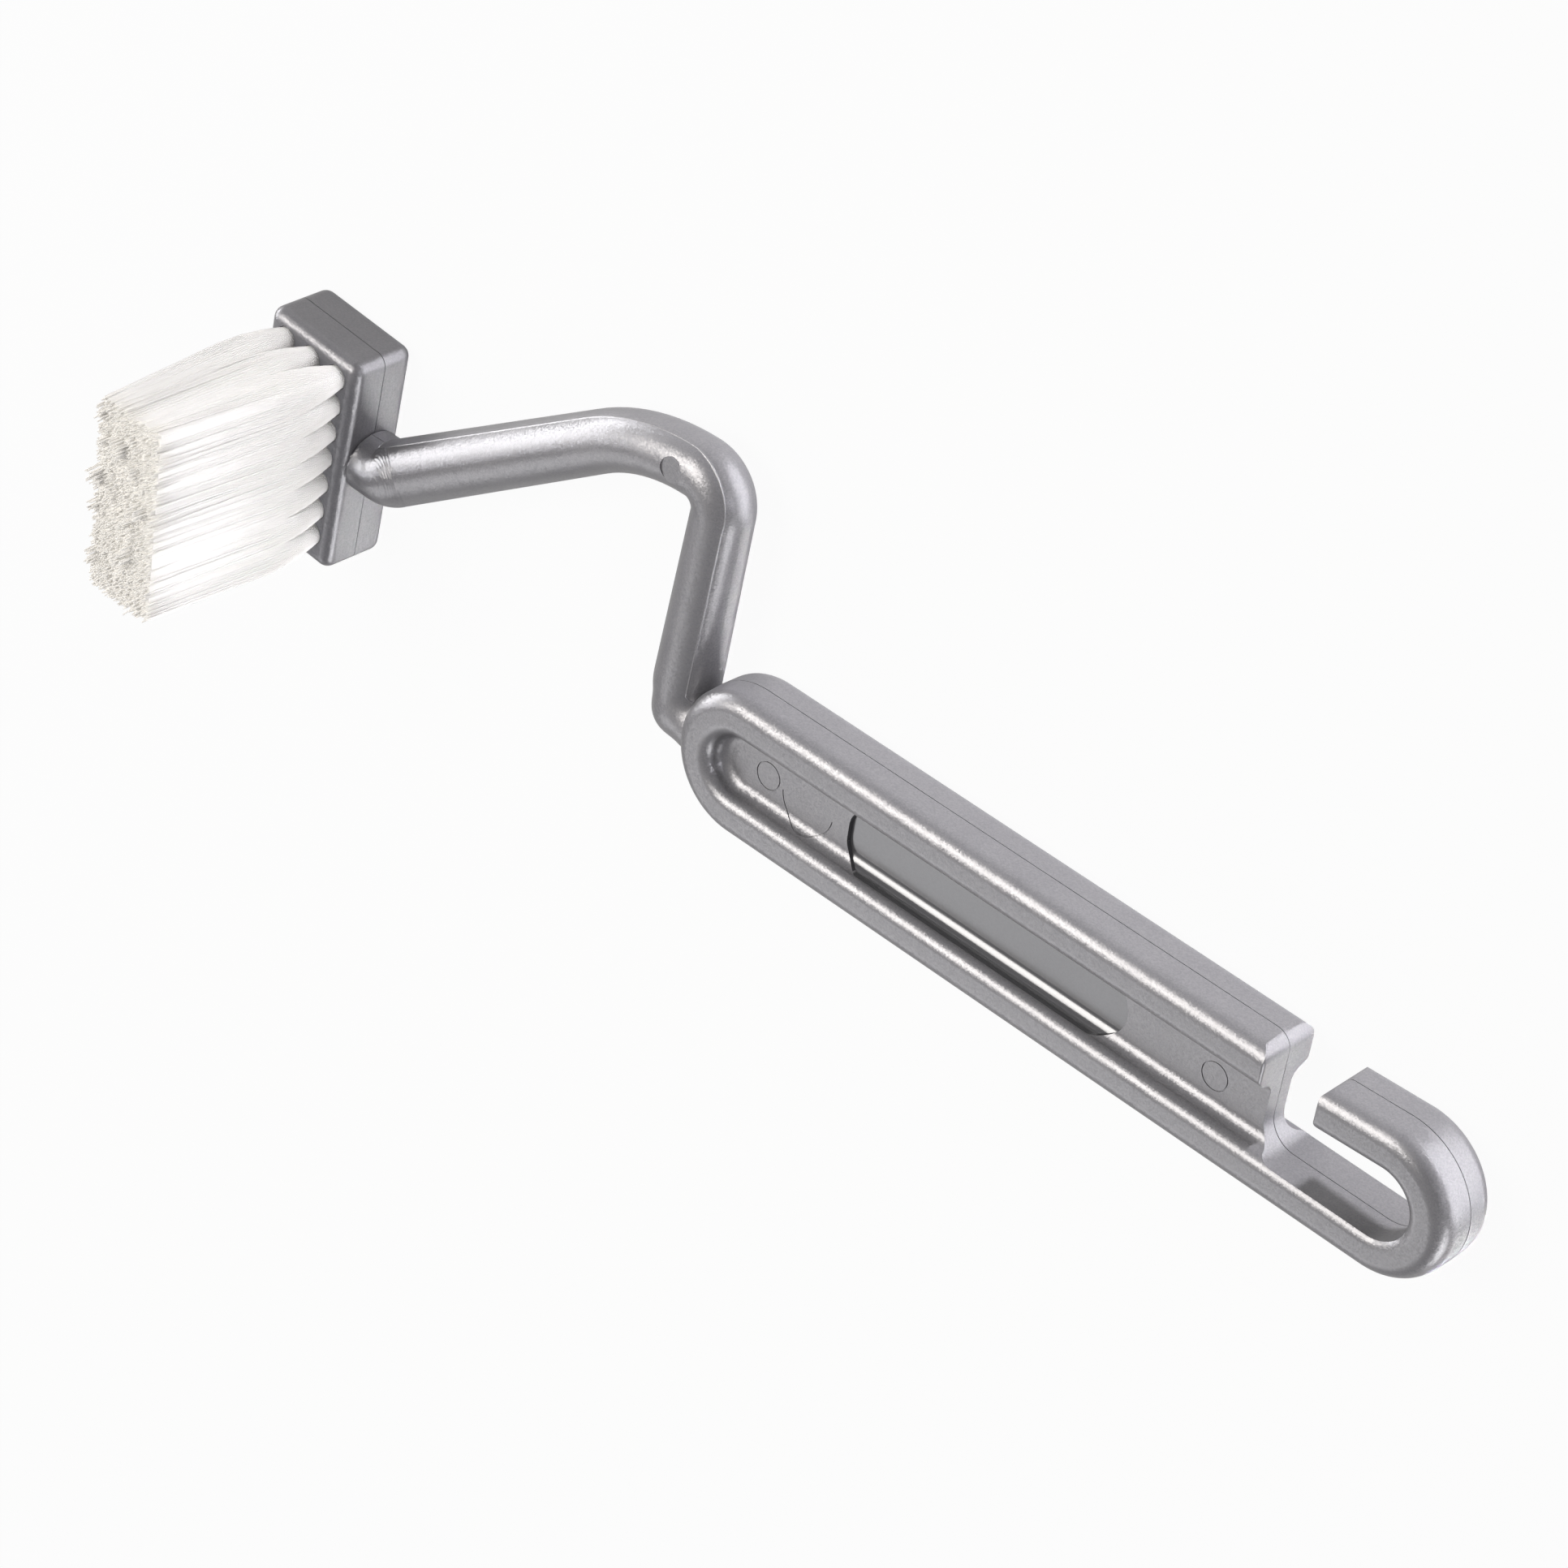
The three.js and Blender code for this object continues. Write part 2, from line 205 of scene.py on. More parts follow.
# Sizes that follow from the ones above
HANDLE_RADIUS = HANDLE_WIDTH / 2
HANDLE_HALF = HANDLE_THICKNESS / 2
WEB_HALF = WEB_THICKNESS / 2
LEFT_END_X = HANDLE_RADIUS
RIGHT_END_X = HANDLE_LENGTH - HANDLE_RADIUS
HOOK_TIP_X = RIGHT_END_X - HOOK_ARM_LENGTH
THROAT_X = HOOK_TIP_X - HOOK_MOUTH
BLOCK_FRONT_Z = BLOCK_THICKNESS / 2
ANCHOR_FOOT_Z = TUFT_CLEARANCE + FOLD_HEIGHT + ANCHOR_CLEARANCE - HOLE_DEPTH
BODY_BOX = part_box("moulded_body")
ORIGIN = Vector((
    BODY_BOX[1].x / MM - HANDLE_LENGTH,
    BODY_BOX[1].y / MM - UPRIGHT_HEIGHT - ROD_TOP_DIAMETER / 2,
    BODY_BOX[0].z / MM + BLOCK_FRONT_Z,
))
TO_FRAME = Matrix.Scale(MM, 4) @ Matrix.Translation(ORIGIN)


class Nodes:
    """A material's nodes, with short ways to add and join them."""

    def __init__(self, name):
        self.material = bpy.data.materials.new(name)
        self.material.use_nodes = True
        self.tree = self.material.node_tree
        self.shader = self.tree.nodes["Principled BSDF"]

    def add(self, kind, settings=None, **inputs):
        node = self.tree.nodes.new(kind)
        for key, value in (settings or {}).items():
            setattr(node, key, value)
        for key, value in inputs.items():
            self.feed(node, key.replace("_", " "), value)
        return node

    def feed(self, node, socket, value):
        """Set a socket, or join it to another node's output."""
        target = node.inputs[int(socket)] if socket.isdigit() else node.inputs[socket]
        if isinstance(value, bpy.types.NodeSocket):
            self.tree.links.new(value, target)
        else:
            target.default_value = value

    def math(self, operation, *values, kind="ShaderNodeMath"):
        node = self.add(kind, {"operation": operation})
        for place, value in enumerate(values):
            self.feed(node, str(place), value)
        return node.outputs[0]

    def vector_math(self, operation, *values):
        return self.math(operation, *values, kind="ShaderNodeVectorMath")

    def ramp(self, factor, low, high, from_colour, to_colour):
        """A colour that goes from one to another as the factor goes from low to high."""
        node = self.add("ShaderNodeValToRGB", Fac=factor)
        node.color_ramp.elements[0].position = low
        node.color_ramp.elements[0].color = (*from_colour, 1)
        node.color_ramp.elements[1].position = high
        node.color_ramp.elements[1].color = (*to_colour, 1)
        return node.outputs["Color"]


# Materials
PLASTIC_DARK = (0.235, 0.233, 0.245)
PLASTIC_LIGHT = (0.305, 0.30, 0.308)
# The head block's colours: a darker copy of the handle's plastic, painted shade on the block.
BLOCK_SHADED_DARK = (0.21, 0.208, 0.22)
BLOCK_SHADED_LIGHT = (0.265, 0.261, 0.27)
POLISHED_DARK = (0.17, 0.17, 0.175)
POLISHED_LIGHT = (0.19, 0.19, 0.195)
PLASTIC_METALLIC = 0.7
PLASTIC_ROUGHNESS = 0.37
POLISHED_ROUGHNESS = 0.2
ROUGHNESS_SWING = 0.25
FLAKE_SIZE = 0.24
FLAKE_TILT = 0.12
FLAKE_SHARE = 0.6
CLOUD_SCALE = 120.0
CLOUD_SHARE = 0.3
SHADE_START = 0.2
SCRATCH_DEPTH = 0.05
SCRATCH_SCALE = 1800.0
SCRATCH_STRETCH = (0.06, 0.25, 1.0)
BRISTLE_COLOUR = (0.97, 0.955, 0.93)
BRISTLE_SHADE = (0.92, 0.905, 0.88)
BRISTLE_ROUGHNESS = 0.38
STREAK_SCALE = 2200.0
STREAK_STRETCH = (1.0, 1.0, 0.08)
# The cut ends' colour: partly their own cream tint, partly painted shade between the filament ends.
TIP_CREAM_AND_SHADE = (0.87, 0.85, 0.81)
TIP_CREAM_AND_SHADE_REACH = (0.9, 0.99)
WIRE_COLOUR = (0.60, 0.47, 0.24)
WIRE_SHADE = (0.42, 0.32, 0.15)
WIRE_ROUGHNESS = 0.35
WIRE_SCALE = 900.0
NOISE_REACH = (0.35, 0.65)


def silver_plastic(name, dark, light, roughness, flake_tilt, scratches=0.0):
    """Grey plastic full of fine metal flakes, each lying a little askew, plain or with fine scratches."""
    nodes = Nodes(name)
    place = nodes.add("ShaderNodeTexCoord").outputs["Object"]
    flakes = nodes.add("ShaderNodeTexVoronoi", Vector=place, Scale=1 / (FLAKE_SIZE * MM))
    cloud = nodes.add("ShaderNodeTexNoise", Vector=place, Scale=CLOUD_SCALE, Detail=3.0).outputs["Fac"]
    flake_shade = nodes.add("ShaderNodeSeparateColor", Color=flakes.outputs["Color"]).outputs["Red"]
    from_flakes = nodes.math("MULTIPLY_ADD", flake_shade, FLAKE_SHARE, SHADE_START)
    shade = nodes.math("MULTIPLY_ADD", cloud, CLOUD_SHARE, from_flakes)
    nodes.feed(nodes.shader, "Base Color", nodes.ramp(shade, SHADE_START, 1.0, dark, light))
    swing = roughness * ROUGHNESS_SWING
    nodes.feed(nodes.shader, "Roughness", nodes.math("MULTIPLY_ADD", cloud, swing, roughness - swing / 2))
    nodes.shader.inputs["Metallic"].default_value = PLASTIC_METALLIC
    askew = nodes.vector_math("SUBTRACT", flakes.outputs["Color"], (0.5, 0.5, 0.5))
    scaled = nodes.add("ShaderNodeVectorMath", {"operation": "SCALE"}, Scale=flake_tilt)
    nodes.feed(scaled, "0", askew)
    tilted = nodes.vector_math("ADD", nodes.add("ShaderNodeNewGeometry").outputs["Normal"], scaled.outputs[0])
    normal = nodes.vector_math("NORMALIZE", tilted)
    if scratches:
        drawn_out = nodes.add("ShaderNodeMapping", Vector=place, Scale=SCRATCH_STRETCH).outputs["Vector"]
        lines = nodes.add("ShaderNodeTexNoise", Vector=drawn_out, Scale=SCRATCH_SCALE, Detail=4.0)
        height = lines.outputs["Fac"]
        scored = nodes.add("ShaderNodeBump", Height=height, Distance=scratches * MM, Normal=normal)
        normal = scored.outputs["Normal"]
    nodes.feed(nodes.shader, "Normal", normal)
    return nodes.material


def bristle_nylon():
    """White filaments that differ a little from one to the next, with cut ends that are creamier and darker:
    partly their own tint, partly painted shade between the ends.
    """
    nodes = Nodes("bristle_nylon")
    place = nodes.add("ShaderNodeTexCoord").outputs["Object"]
    drawn_out = nodes.add("ShaderNodeMapping", Vector=place, Scale=STREAK_STRETCH).outputs["Vector"]
    streaks = nodes.add("ShaderNodeTexNoise", Vector=drawn_out, Scale=STREAK_SCALE, Detail=2.0)
    white = nodes.ramp(streaks.outputs["Fac"], *NOISE_REACH, BRISTLE_SHADE, BRISTLE_COLOUR)
    how_far = nodes.add("ShaderNodeAttribute", {"attribute_name": "how_far"}).outputs["Fac"]
    # Darker, creamier cut ends near the tips: partly their tint, partly painted shade.
    at_tip = nodes.ramp(how_far, *TIP_CREAM_AND_SHADE_REACH, (0, 0, 0), (1, 1, 1))
    mix = nodes.add("ShaderNodeMix", {"data_type": "RGBA"})
    nodes.feed(mix, "0", at_tip)
    nodes.feed(mix, "6", white)
    nodes.feed(mix, "7", (*TIP_CREAM_AND_SHADE, 1))
    nodes.feed(nodes.shader, "Base Color", mix.outputs[2])
    nodes.shader.inputs["Roughness"].default_value = BRISTLE_ROUGHNESS
    return nodes.material


def anchor_brass():
    """Flat brass wire, a little uneven in colour."""
    nodes = Nodes("anchor_brass")
    place = nodes.add("ShaderNodeTexCoord").outputs["Object"]
    noise = nodes.add("ShaderNodeTexNoise", Vector=place, Scale=WIRE_SCALE, Detail=4.0)
    colour = nodes.ramp(noise.outputs["Fac"], *NOISE_REACH, WIRE_SHADE, WIRE_COLOUR)
    nodes.feed(nodes.shader, "Base Color", colour)
    nodes.shader.inputs["Roughness"].default_value = WIRE_ROUGHNESS
    nodes.shader.inputs["Metallic"].default_value = 1.0
    return nodes.material


def dress(piece, material):
    piece.data.materials.clear()
    piece.data.materials.append(material)
    return piece


SILVER = silver_plastic("silver_plastic", PLASTIC_DARK, PLASTIC_LIGHT, PLASTIC_ROUGHNESS, FLAKE_TILT)
POLISHED = silver_plastic("silver_polished", POLISHED_DARK, POLISHED_LIGHT, POLISHED_ROUGHNESS, 0.0)
# The head block's copy: its fine scratches are real, its darker colours are painted shade.
BRUSHED_AND_SHADED = silver_plastic("silver_brushed_shaded", BLOCK_SHADED_DARK, BLOCK_SHADED_LIGHT, PLASTIC_ROUGHNESS, FLAKE_TILT,
                         scratches=SCRATCH_DEPTH)


def mesh_object(name, points, faces):
    """A new object in the scene from points in millimetres."""
    mesh = bpy.data.meshes.new(name)
    mesh.from_pydata([tuple(point) for point in points], [], faces)
    mesh.update()
    made = bpy.data.objects.new(name, mesh)
    bpy.context.scene.collection.objects.link(made)
    return made


def smoothstep(value):
    value = min(max(value, 0.0), 1.0)
    return value * value * (3 - 2 * value)


def loft(name, rings):
    """A closed body through rings with equally many points."""
    count = len(rings[0])
    points = [point for ring in rings for point in ring]
    faces = []
    for ring in range(len(rings) - 1):
        for k in range(count):
            a = ring * count + k
            b = ring * count + (k + 1) % count
            faces.append((a, b, b + count, a + count))
    faces.append(tuple(reversed(range(count))))
    faces.append(tuple(range(len(points) - count, len(points))))
    return mesh_object(name, points, faces)


def combined(body, tool, operation):
    """The body joined with, or cut by, a tool, which is used up."""
    modifier = body.modifiers.new("boolean", "BOOLEAN")
    modifier.object = tool
    modifier.operation = operation
    modifier.solver = "EXACT"
    modifier.material_mode = "TRANSFER"
    evaluated = body.evaluated_get(bpy.context.evaluated_depsgraph_get())
    mesh = bpy.data.meshes.new_from_object(evaluated)
    body.modifiers.clear()
    body.data = mesh
    bpy.data.objects.remove(tool)
    return body


def arc(centre_x, centre_y, radius, start, end, steps):
    """Points in the plan along an arc, by angles in degrees."""
    angles = [math.radians(start + (end - start) * k / steps) for k in range(steps + 1)]
    return [(centre_x + radius * math.cos(a), centre_y + radius * math.sin(a)) for a in angles]


def round_ended(name, from_x, to_x, steps):
    """A body with a round-ended outline, from [radius, z] steps going up."""
    rings = []
    for radius, z in steps:
        plan = arc(to_x, 0, radius, -90, 90, END_SEGMENTS) + arc(from_x, 0, radius, 90, 270, END_SEGMENTS)
        rings.append([(x, y, z) for x, y in plan])
    return loft(name, rings)


def trough_steps(lowered):
    """[radius, z] steps from a trough's floor to its rim, along two tangent arcs."""
    rim = HANDLE_RADIUS - RAIL_WIDTH
    floor = rim - TROUGH_WALL_RUN
    steepest = 2 * math.atan2(HANDLE_HALF - WEB_HALF, TROUGH_WALL_RUN)
    radius = TROUGH_WALL_RUN / (2 * math.sin(steepest))
    turns = [steepest * k / FILLET_SEGMENTS for k in range(FILLET_SEGMENTS + 1)]
    lower = [(floor + radius * math.sin(t), WEB_HALF + radius * (1 - math.cos(t))) for t in turns]
    upper = [(rim - radius * math.sin(t), HANDLE_HALF - radius * (1 - math.cos(t))) for t in turns]
    return [(r, z - lowered) for r, z in lower + upper[-2::-1]]


def parting_slot():
    """[inset, z] steps down into the fine line where the mould's halves met, and out again."""
    half = SLOT_WIDTH / 2
    foot = half * SLOT_TAPER
    return [(0.0, -half), (SLOT_DEPTH, -foot), (SLOT_DEPTH, foot), (0.0, half)]


def handle_bar():
    """The bar with both troughs: one profile from the back trough's floor round to the front one's."""
    front = trough_steps(0)[::-1]
    edge = []
    side = HANDLE_RADIUS - HANDLE_DRAFT
    for k in range(FILLET_SEGMENTS + 1):
        turn = math.pi / 2 * k / FILLET_SEGMENTS
        edge.append((side - HANDLE_EDGE * (1 - math.cos(turn)),
                     HANDLE_HALF - HANDLE_EDGE * (1 - math.sin(turn))))
    upper_half = edge + front
    lower_half = [(r, -z) for r, z in reversed(upper_half)]
    slot = [(HANDLE_RADIUS - inset, z) for inset, z in parting_slot()]
    return round_ended("handle", LEFT_END_X, RIGHT_END_X, lower_half + slot + upper_half)


def sunk_trough(name, depth):
    """The trough's own form, sunk deeper, as a tool that reaches out through the front."""
    rim = [(HANDLE_RADIUS - RAIL_WIDTH, HANDLE_HALF + OVERCUT)]
    return round_ended(name, LEFT_END_X, RIGHT_END_X, trough_steps(depth) + rim)


def pocket_cutter():
    """The label pocket: the trough's form again, deeper, inside an outline with one end squarer."""
    half = POCKET_WIDTH / 2
    corner_x = POCKET_START + POCKET_CORNER
    corner_y = half - POCKET_CORNER
    plan = arc(POCKET_START + POCKET_LENGTH - half, 0, half, -90, 90, END_SEGMENTS)
    plan += arc(corner_x, corner_y, POCKET_CORNER, 90, 180, END_SEGMENTS // 2)
    plan += arc(corner_x, -corner_y, POCKET_CORNER, 180, 270, END_SEGMENTS // 2)
    outline = loft("outline", [[(x, y, z) for x, y in plan] for z in (0.0, HANDLE_THICKNESS)])
    return combined(sunk_trough("pocket", POCKET_DEPTH), outline, "INTERSECT")


def ejector_marks():
    """Fine grooves round the ends of the ejector pins, following the trough's surface."""
    arcs = []
    for x, y, radius, start, end in EJECTOR_MARKS:
        inner = arc(x, y, radius - GROOVE_WIDTH / 2, start, end, END_SEGMENTS)
        outer = arc(x, y, radius + GROOVE_WIDTH / 2, start, end, END_SEGMENTS)
        sections = [[(*a, 0.0), (*b, 0.0), (*b, HANDLE_THICKNESS), (*a, HANDLE_THICKNESS)]
                    for a, b in zip(inner, outer)]
        arcs.append(loft("arc", sections))
    marks = arcs[0]
    for other in arcs[1:]:
        marks = combined(marks, other, "UNION")
    return combined(sunk_trough("marks", GROOVE_DEPTH), marks, "INTERSECT")


def hook_outline(grown):
    """Plan of the hook's opening and mouth, grown into the material by a distance."""
    top = HANDLE_RADIUS
    half = HOOK_GAP / 2
    over = top + OVERCUT
    throat_top_x = THROAT_X - THROAT_TOP_RADIUS
    tip_top_x = HOOK_TIP_X + HOOK_TIP_TOP_RADIUS
    steps = FILLET_SEGMENTS
    plan = [(throat_top_x, over)]
    plan += arc(throat_top_x, top - THROAT_TOP_RADIUS, THROAT_TOP_RADIUS - grown, 90, 0, steps)
    plan += arc(THROAT_X + THROAT_FOOT_RADIUS, THROAT_FOOT_RADIUS - half, THROAT_FOOT_RADIUS + grown,
                180, 270, steps)
    plan += arc(RIGHT_END_X, 0, half + grown, -90, 90, 2 * steps)
    plan += arc(HOOK_TIP_X + HOOK_TIP_RADIUS, half + HOOK_TIP_RADIUS, HOOK_TIP_RADIUS - grown,
                270, 180, steps)
    plan += arc(tip_top_x, top - HOOK_TIP_TOP_RADIUS, HOOK_TIP_TOP_RADIUS - grown, 180, 90, steps)
    plan.append((tip_top_x, over))
    return plan


def hook_cutter():
    """The opening through the handle, flared where it breaks through the faces."""
    levels = []
    for k in range(FILLET_SEGMENTS + 1):
        turn = math.pi / 2 * k / FILLET_SEGMENTS
        height = HANDLE_HALF + FACE_OVERCUT - OPENING_EDGE * (1 - math.cos(turn))
        levels.append((OPENING_EDGE * (1 - math.sin(turn)), height))
    steps = [(grown, -z) for grown, z in levels] + parting_slot() + levels[::-1]
    return loft("hook_opening", [[(x, y, z) for x, y in hook_outline(grown)] for grown, z in steps])


def set_hook_arm(body):
    """The hook's arm has taken a set: it leans into its opening, most at the tip."""
    for vertex in body.data.vertices:
        x, y, _ = vertex.co
        reach = (RIGHT_END_X - x) / HOOK_ARM_LENGTH
        if y > 0 and reach > 0 and x > HOOK_TIP_X - HOOK_MOUTH / 2:
            vertex.co.y -= HOOK_ARM_SET * reach


def handle():
    bar = dress(handle_bar(), SILVER)
    bar = combined(bar, dress(ejector_marks(), SILVER), "DIFFERENCE")
    bar = combined(bar, dress(pocket_cutter(), POLISHED), "DIFFERENCE")
    bar = combined(bar, dress(hook_cutter(), SILVER), "DIFFERENCE")
    set_hook_arm(bar)
    return bar


class RodRoute:
    """The rod's centre-line, walked from inside the handle to inside the head.

    Each station has its place, heading, radius and the angle of the parting bead round the rod.
    """

    def __init__(self):
        right_turn = math.pi / 2 + UPRIGHT_LEAN
        foot_bend = ROD_FOOT_DIAMETER / 2 + TIGHT_BEND_INSIDE
        top_bend = ROD_TOP_DIAMETER / 2 + TIGHT_BEND_INSIDE
        elbow_bend = ROD_ELBOW_DIAMETER / 2 + TIGHT_BEND_INSIDE
        foot_tangent = foot_bend * math.tan(right_turn / 2)
        top_tangent = top_bend * math.tan(right_turn / 2)
        elbow_tangent = elbow_bend * math.tan(RISE_ANGLE / 2)
        upright = UPRIGHT_HEIGHT / math.cos(UPRIGHT_LEAN) - foot_tangent - top_tangent
        slope_drop = UPRIGHT_HEIGHT - ROD_ROOT_HEIGHT - SLOW_BEND_RADIUS * (1 - math.cos(RISE_ANGLE))
        slope = slope_drop / math.sin(RISE_ANGLE) - elbow_tangent
        fine = ELBOW_RINGS[-1] / slope
        near_elbow = ROD_ELBOW_DIAMETER + (ROD_TOP_DIAMETER - ROD_ELBOW_DIAMETER) * fine
        self.stations = []
        self.at = Vector((foot_tangent - ROD_FOOT_OFFSET + ROD_HANDLE_EMBED, 0.0))
        self.heading = math.pi
        self.radius = ROD_FOOT_DIAMETER / 2
        self.bead = BEAD_AT_HANDLE
        self.mark()
        self.walk(ROD_HANDLE_EMBED, ROD_FOOT_DIAMETER)
        self.bend(-right_turn, foot_bend, BEAD_ON_UPRIGHT)
        self.walk(upright, ROD_TOP_DIAMETER)
        self.bend(right_turn, top_bend, BEAD_ON_SLOPE)
        self.walk(LEVEL_RUN, ROD_TOP_DIAMETER)
        self.bend(RISE_ANGLE, SLOW_BEND_RADIUS, BEAD_ON_SLOPE)
        self.walk(slope * (1 - fine), near_elbow)
        self.walk(slope * fine, ROD_ELBOW_DIAMETER, FINE_ROD_STEP)
        self.bend(-RISE_ANGLE, elbow_bend, BEAD_AT_HEAD, FINE_DEGREES_PER_BEND_STEP)
        self.head_side_x = self.at.x + elbow_tangent - STUB_LENGTH
        self.walk(self.at.x - self.head_side_x + ROD_HEAD_EMBED, ROD_ROOT_DIAMETER, FINE_ROD_STEP)

    def mark(self):
        self.stations.append((self.at.copy(), self.heading, self.radius, self.bead))

    def walk(self, length, diameter, step=ROD_STEP):
        steps = math.ceil(length / step)
        way = Vector((math.cos(self.heading), math.sin(self.heading)))
        widening = diameter / 2 - self.radius
        for _ in range(steps):
            self.at = self.at + way * length / steps
            self.radius += widening / steps
            self.mark()

    def bend(self, turn, bend_radius, bead, degrees=DEGREES_PER_BEND_STEP):
        steps = math.ceil(abs(math.degrees(turn)) / degrees)
        side = math.copysign(bend_radius, turn)
        centre = self.at + side * Vector((-math.sin(self.heading), math.cos(self.heading)))
        bead_turn = bead - self.bead
        for _ in range(steps):
            self.heading += turn / steps
            self.bead += bead_turn / steps
            self.at = centre - side * Vector((-math.sin(self.heading), math.cos(self.heading)))
            self.mark()


ROUTE = RodRoute()
SLOPE_WAY = Vector((math.cos(RISE_ANGLE), math.sin(RISE_ANGLE)))
FOOT_INWARD = (math.pi / 2 - UPRIGHT_LEAN) / 2
FOOT_BALL = Vector((ROD_BALL_INSET * math.cos(FOOT_INWARD) - ROD_FOOT_OFFSET,
                    ROD_BALL_INSET * math.sin(FOOT_INWARD), 0.0))
BLOCK_CENTRE = Vector((ROUTE.head_side_x - BLOCK_WIDTH / 2, ROD_ROOT_HEIGHT + BLOCK_RISE, BLOCK_FRONT_Z))
ON_HEAD = Matrix.Translation(BLOCK_CENTRE) @ Matrix.Rotation(-BLOCK_LEAN, 4, "Z")
FROM_HEAD = ON_HEAD.inverted()


def elbow_rise(place):
    """How far the elbow's nose stands up: in the cutter's steps towards the rod, smooth towards the head."""
    flat = place.xy - ELBOW_POLE
    away = flat.length
    smooth = smoothstep(0.5 - flat.dot(SLOPE_WAY) / ELBOW_RINGS[0])
    width = ELBOW_STEP_WIDTH + (ELBOW_SMOOTH_WIDTH - ELBOW_STEP_WIDTH) * smooth
    steps = sum(smoothstep((ring - away) / width + 0.5) for ring in ELBOW_RINGS)
    return ELBOW_STEP * steps * smoothstep(place.z / ELBOW_FADE_HEIGHT)


def stub_groove(place):
    """A fine groove where the rod's stub meets the block."""
    aside = (FROM_HEAD @ place).x - BLOCK_WIDTH / 2
    return STUB_GROOVE_DEPTH * math.exp(-(aside / STUB_GROOVE_HALF_WIDTH) ** 2)


def foot_filled(place):
    """The rod's foot is filled out to a ball at the outside of its bend, with a soft blend."""
    out = place - FOOT_BALL
    radius = ROD_FOOT_DIAMETER / 2
    beyond = out.length - radius
    share = min(max(0.5 + 0.5 * beyond / FOOT_BLEND, 0.0), 1.0)
    lifted = beyond * share + FOOT_BLEND * share * (1 - share)
    return FOOT_BALL + out * ((radius + lifted) / out.length)


def rod_skin(station, offset):
    """A point on the rod's skin, by its angle round the rod from the parting bead."""
    at, heading, radius, bead = station
    angle = bead + offset
    out = Vector((-math.sin(heading) * math.cos(angle), math.cos(heading) * math.cos(angle), math.sin(angle)))
    place = Vector((at.x, at.y, 0.0)) + radius * out
    from_bead = radius * math.sin(offset)
    lift = BEAD_HEIGHT * math.exp(-(from_bead / BEAD_HALF_WIDTH) ** 2)
    return foot_filled(place + (lift + elbow_rise(place) - stub_groove(place)) * out)


def rod():
    """The rod, with its points closer together at its parting beads, and the flat end of a pin."""
    turns = [2 * math.pi * k / ROD_SIDES for k in range(ROD_SIDES)]
    offsets = [turn - ROD_CROWDING * math.sin(2 * turn) / 2 for turn in turns]
    rings = [[rod_skin(station, offset) for offset in offsets] for station in ROUTE.stations]
    made = dress(loft("rod", rings), SILVER)
    for operation, low, high in (("UNION", 0.0, PIN_HEIGHT), ("DIFFERENCE", PIN_HEIGHT, HANDLE_THICKNESS)):
        circle = arc(*PIN_PLACE, PIN_RADIUS, 0, 360, HOLE_SIDES)[:-1]
        pin = loft("pin", [[(x, y, z) for x, y in circle] for z in (low, high)])
        made = combined(made, dress(pin, SILVER), operation)
    return made


def from_bmesh(name, shape):
    mesh = bpy.data.meshes.new(name)
    shape.to_mesh(mesh)
    shape.free()
    made = bpy.data.objects.new(name, mesh)
    bpy.context.scene.collection.objects.link(made)
    return made


def rounded_rectangle(width, height, radius):
    """Plan of a rectangle with rounded corners."""
    x = width / 2 - radius
    y = height / 2 - radius
    plan = []
    for corner_x, corner_y, start in ((x, -y, -90), (x, y, 0), (-x, y, 90), (-x, -y, 180)):
        plan += arc(corner_x, corner_y, radius, start, start + 90, FILLET_SEGMENTS)
    return plan


def head_block():
    """The block, with rounded edges and a fine groove where the mould's halves met."""
    edge = []
    for k in range(FILLET_SEGMENTS + 1):
        turn = math.pi / 2 * k / FILLET_SEGMENTS
        edge.append((BLOCK_EDGE * (1 - math.sin(turn)), BLOCK_EDGE * (1 - math.cos(turn))))
    steps = [(inset, depth - BLOCK_THICKNESS) for inset, depth in edge]
    steps += [(inset, z - BLOCK_THICKNESS / 2) for inset, z in parting_slot()]
    steps += [(inset, -depth) for inset, depth in reversed(edge)]
    rings = []
    for inset, z in steps:
        radius = max(BLOCK_EDGE - inset, LEAST_CORNER)
        plan = rounded_rectangle(BLOCK_WIDTH - 2 * inset, BLOCK_HEIGHT - 2 * inset, radius)
        rings.append([ON_HEAD @ Vector((x, y, z)) for x, y in plan])
    return loft("block", rings)


def tuft_places():
    """For each tuft its name, the place of its hole on the block and of its tips above it."""
    places = []
    for row in range(TUFT_ROWS):
        for column in range(TUFT_COLUMNS):
            across = column - (TUFT_COLUMNS - 1) / 2
            up = (TUFT_ROWS - 1) / 2 - row
            hole = Vector((across * COLUMN_PITCH, up * ROW_PITCH + GRID_RISE))
            tip = Matrix.Rotation(TIP_TURN, 2) @ Vector((across * TIP_COLUMN_PITCH, up * TIP_ROW_PITCH))
            places.append((f"{row + 1}_{column + 1}", hole, tip))
    return places


def drilled_holes():
    """All the holes as one tool: they don't touch each other."""
    radius = HOLE_DIAMETER / 2
    point_z = -HOLE_DEPTH - radius * math.tan(DRILL_POINT_ANGLE)
    points, faces = [], []
    for _, hole, _ in tuft_places():
        first = len(points)
        circle = arc(hole.x, hole.y, radius, 0, 360, HOLE_SIDES)[:-1]
        points += [ON_HEAD @ Vector((x, y, -HOLE_DEPTH)) for x, y in circle]
        points += [ON_HEAD @ Vector((x, y, OVERCUT)) for x, y in circle]
        points.append(ON_HEAD @ Vector((hole.x, hole.y, point_z)))
        for k in range(HOLE_SIDES):
            a, b = first + k, first + (k + 1) % HOLE_SIDES
            faces.append((a, b, b + HOLE_SIDES, a + HOLE_SIDES))
            faces.append((b, a, first + 2 * HOLE_SIDES))
        faces.append(tuple(range(first + HOLE_SIDES, first + 2 * HOLE_SIDES)))
    return mesh_object("holes", points, faces)


